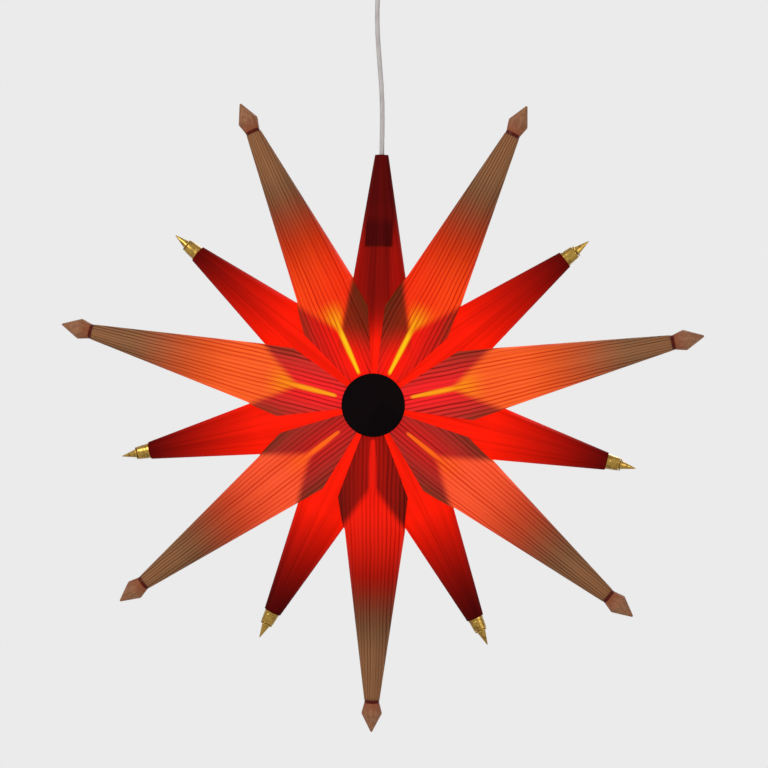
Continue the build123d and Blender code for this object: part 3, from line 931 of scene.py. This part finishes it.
def grip_outline():
    """Half section of the canopy's cord grip: tapered nut below the floor, neck and snap flange above it."""
    low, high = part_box("canopy_grip")
    floor = low.z + grip_nut_length
    corners = [
        (grip_bore, low.z, 0.0),
        (grip_nut_end_radius, low.z, 0.0008),
        (grip_nut_radius, floor, 0.0008),
        (grip_neck_radius, floor, 0.0002),
        (grip_neck_radius, floor + canopy_wall, 0.0002),
        (grip_flange_radius, floor + canopy_wall, 0.0004),
        (grip_neck_radius, high.z, 0.0006),
        (grip_bore, high.z, 0.0003),
        (grip_bore, low.z, 0.0),
    ]
    return eased(corners)


# Making


def make_cord(sheath):
    """The free cord: one smooth spline over the route's points, up into the ceiling clamp."""
    curve = bpy.data.curves.new("hanging_cord", "CURVE")
    curve.dimensions = "3D"
    curve.bevel_depth = cord_diameter / 2
    curve.bevel_resolution = 6
    curve.resolution_u = 16
    curve.use_fill_caps = True
    spline = curve.splines.new("NURBS")
    spline.points.add(len(cord_route) - 1)
    for point, (x, z) in zip(spline.points, cord_route):
        point.co = (x, 0.0, z, 1.0)
    spline.order_u = 3
    spline.use_endpoint_u = True
    cord = bpy.data.objects.new("hanging_cord", curve)
    bpy.context.scene.collection.objects.link(cord)
    dress(cord, "ceiling_mount", "cord_sheath", ["cord"], sheath)


def make_long_points():
    """Front and back sheet and wooden tip of each long point, and all their rings as one piece."""
    veneer = veneer_finish()
    veneer_edge = veneer_edge_finish()
    turned_wood = turned_wood_finish()
    tip_grids = [lathe_grid(wood_outline())]
    ring_grids = []
    for number in range(1, point_count + 1):
        turn = (number - 0.5) * 2 * sector_half
        axes = point_axes(turn)
        lift = cos(radians(turn))
        for side, name in ((-1, "front"), (1, "back")):
            grids = [veneer_grid(side)]
            seed = number + 0.37 * side
            sheet = make_piece(f"{name}_sheet_{number}", grids, axes, star_centre, lift, seed, closed=False)
            dress(sheet, "star", "veneer", [f"veneer_{name}_{number}"], veneer, veneer_edge)
            add_wall(sheet, veneer_thickness, rim=1)
        tip = make_piece(f"turned_tip_{number}", tip_grids, axes, star_centre, seed=number)
        dress(tip, "star", "turned_wood", [f"wood_tip_{number}"], turned_wood)
        ring_grids.append(lathe_grid(ring_outline(), 48) @ axes)
    rings = make_piece("lacquered_rings", ring_grids, upright, star_centre)
    dress(rings, "star", "red_ring", ["tip_rings"], ring_finish())


def make_red_cone(number, name, node, film, end_along):
    """One red cone, at its number's turn."""
    turn = number * 2 * sector_half
    lift = cos(radians(turn))
    grids = red_grids(end_along)
    cone = make_piece(name, grids, point_axes(turn), star_centre, lift, number, closed=False)
    dress(cone, "star", "red_film", [node], film)
    add_wall(cone, red_wall)


def make_red_points():
    """The top red cone, which is open for the cord, and the others, each with a brass tip."""
    top_film = red_film_finish("shaded_red_film", True)
    red_film = red_film_finish("red_film", False)
    brass = brass_finish()
    tip_grids = [lathe_grid(brass_outline())]
    make_red_cone(0, "red_cone_top", "top_red_point", top_film, red_top_along)
    for number in range(1, point_count):
        make_red_cone(number, f"red_cone_{number}", f"red_point_{number}", red_film, red_end_along)
        axes = point_axes(number * 2 * sector_half)
        tip = make_piece(f"brass_spike_{number}", tip_grids, axes, star_centre, seed=number)
        dress(tip, "star", "brass", [f"brass_tip_{number}"], brass)


def make_hub_caps():
    """The black discs over the front and the back of the hub."""
    tones = (6, 2, 3), (11, 4, 5)
    matt_black = moulded_finish("matt_black", *tones, rough=0.8, grain_size=0.0006, gloss=0.04)
    for name, node, axes, body in (
        ("front_disc", "front_cap", facing_front, "front_cap"),
        ("back_disc", "back_cap", facing_back, "star"),
    ):
        disc = make_piece(name, [lathe_grid(cap_outline(), 96)], axes, star_centre)
        dress(disc, body, "black_cap", [node], matt_black)


def make_canopy(white):
    """The white cup below the ceiling and its cord grip."""
    for name, node, outline in (
        ("canopy_cup", "canopy", canopy_outline()),
        ("canopy_cord_grip", "canopy_grip", grip_outline()),
    ):
        cup = make_piece(name, [lathe_grid(outline, 96)], upright, np.zeros(3))
        dress(cup, "canopy", "white_plastic", [node], white)


def finish_inner_solids(white, sheath):
    """Finishes of the solids that keep their own shape."""
    zinc = plated_finish("zinc_plate", (182, 184, 186), (150, 152, 156), rough=0.38)
    nickel = plated_finish("nickel_plate", (206, 200, 190), (178, 170, 158), rough=0.28)
    contact_brass = plated_finish("contact_brass", (206, 168, 88), (160, 122, 60), rough=0.34)
    hub = moulded_finish("hub_plastic", (38, 36, 36), (28, 26, 26), rough=0.55, grain_size=0.0008)
    holder = moulded_finish("holder_plastic", (24, 22, 22), (34, 31, 30), rough=0.42, grain_size=0.0007)
    for material, nodes in (
        (zinc, ["ceiling_plate", "clamp_screw", "hub_screws", "holder_thread_shell"]),
        (nickel, ["bulb_screw_cap", "bulb_contact"]),
        (contact_brass, ["holder_contact"]),
        (hub, ["front_hub_ring", "back_hub_ring", "hub_posts"]),
        (holder, ["holder_body", "holder_cap", "cord_bush"]),
        (white, ["cord_clamp", "terminal_block"]),
        (sheath, ["inner_lead"]),
        (glass_finish(), ["bulb_glass", "bulb_stem"]),
        (filament_finish(), ["bulb_filaments"]),
    ):
        for node in nodes:
            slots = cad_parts[node].data.materials
            slots.clear()
            slots.append(material)


# Stage: a pale floor that runs into an even pale background, and soft light all round


def add_floor():
    """A wide pale floor below the star. Far out it takes the background's own colour."""
    half = floor_size / 2
    corners = [(x, y, floor_height) for x, y in ((-half, -half), (half, -half), (half, half), (-half, half))]
    mesh = bpy.data.meshes.new("floor")
    mesh.from_pydata(corners, [], [(0, 1, 2, 3)])
    floor = bpy.data.objects.new("floor", mesh)
    bpy.context.scene.collection.objects.link(floor)
    finish = Finish("pale_floor", roughness=0.9, gloss=0.1)
    x, y, _ = finish.place()
    grain = finish.noise(x * 3.0, y * 3.0, 0.0, 3.0)
    paler = (floor_grey * 1.03, floor_grey * 1.03, floor_grey * 1.02, 1.0)
    finish.set("Base Color", grain.mix(grey(floor_grey), paler))
    far = ((x * x + y * y) ** 0.5).smooth(floor_near, floor_far)
    even = finish.node("ShaderNodeEmission", None, {"Color": grey(backdrop_grey), "Strength": 1.0})
    lit = Value(finish, finish.shader.outputs[0])
    finish.show(finish.node("ShaderNodeMixShader", None, {0: far, 1: lit, 2: even}), "Material Output")
    mesh.materials.append(finish.material)


def add_world():
    """Even light from all round, and a pale background wherever a ray sees past the object."""
    world = bpy.data.worlds.new("studio")
    bpy.context.scene.world = world
    world.use_nodes = True
    tree = Tree(world.node_tree)
    seen = tree.node("ShaderNodeLightPath", None, None, "Is Camera Ray")
    for name in ("Is Glossy Ray", "Is Transmission Ray"):
        seen = seen.larger(tree.node("ShaderNodeLightPath", None, None, name))
    soft = tree.node("ShaderNodeBackground", None, {"Color": grey(1.0), "Strength": sky_strength})
    pale = tree.node("ShaderNodeBackground", None, {"Color": grey(backdrop_grey), "Strength": 1.0})
    tree.show(tree.node("ShaderNodeMixShader", None, {0: seen, 1: soft, 2: pale}), "World Output")


def add_soft_box(name, place, size, power):
    """A square lamp that looks at the star's centre."""
    data = bpy.data.lights.new(name, "AREA")
    data.size = size
    data.energy = power
    lamp = bpy.data.objects.new(name, data)
    bpy.context.scene.collection.objects.link(lamp)
    lamp.location = place
    lamp.rotation_mode = "QUATERNION"
    lamp.rotation_quaternion = (Vector(star_centre) - Vector(place)).to_track_quat("-Z", "Y")


# The camera and the cord come first
aim_camera()
pale_sheath = sheath_finish()
make_cord(pale_sheath)
make_long_points()
make_red_points()
make_hub_caps()
white_tones = (228, 226, 222), (218, 215, 210)
white_plastic = moulded_finish("white_plastic", *white_tones, rough=0.38, grain_size=0.0007, depth=0.00005)
make_canopy(white_plastic)
finish_inner_solids(white_plastic, pale_sheath)
add_floor()
add_world()
for box_name, box in soft_boxes.items():
    add_soft_box(box_name, *box)
bpy.context.scene.view_settings.view_transform = "Standard"
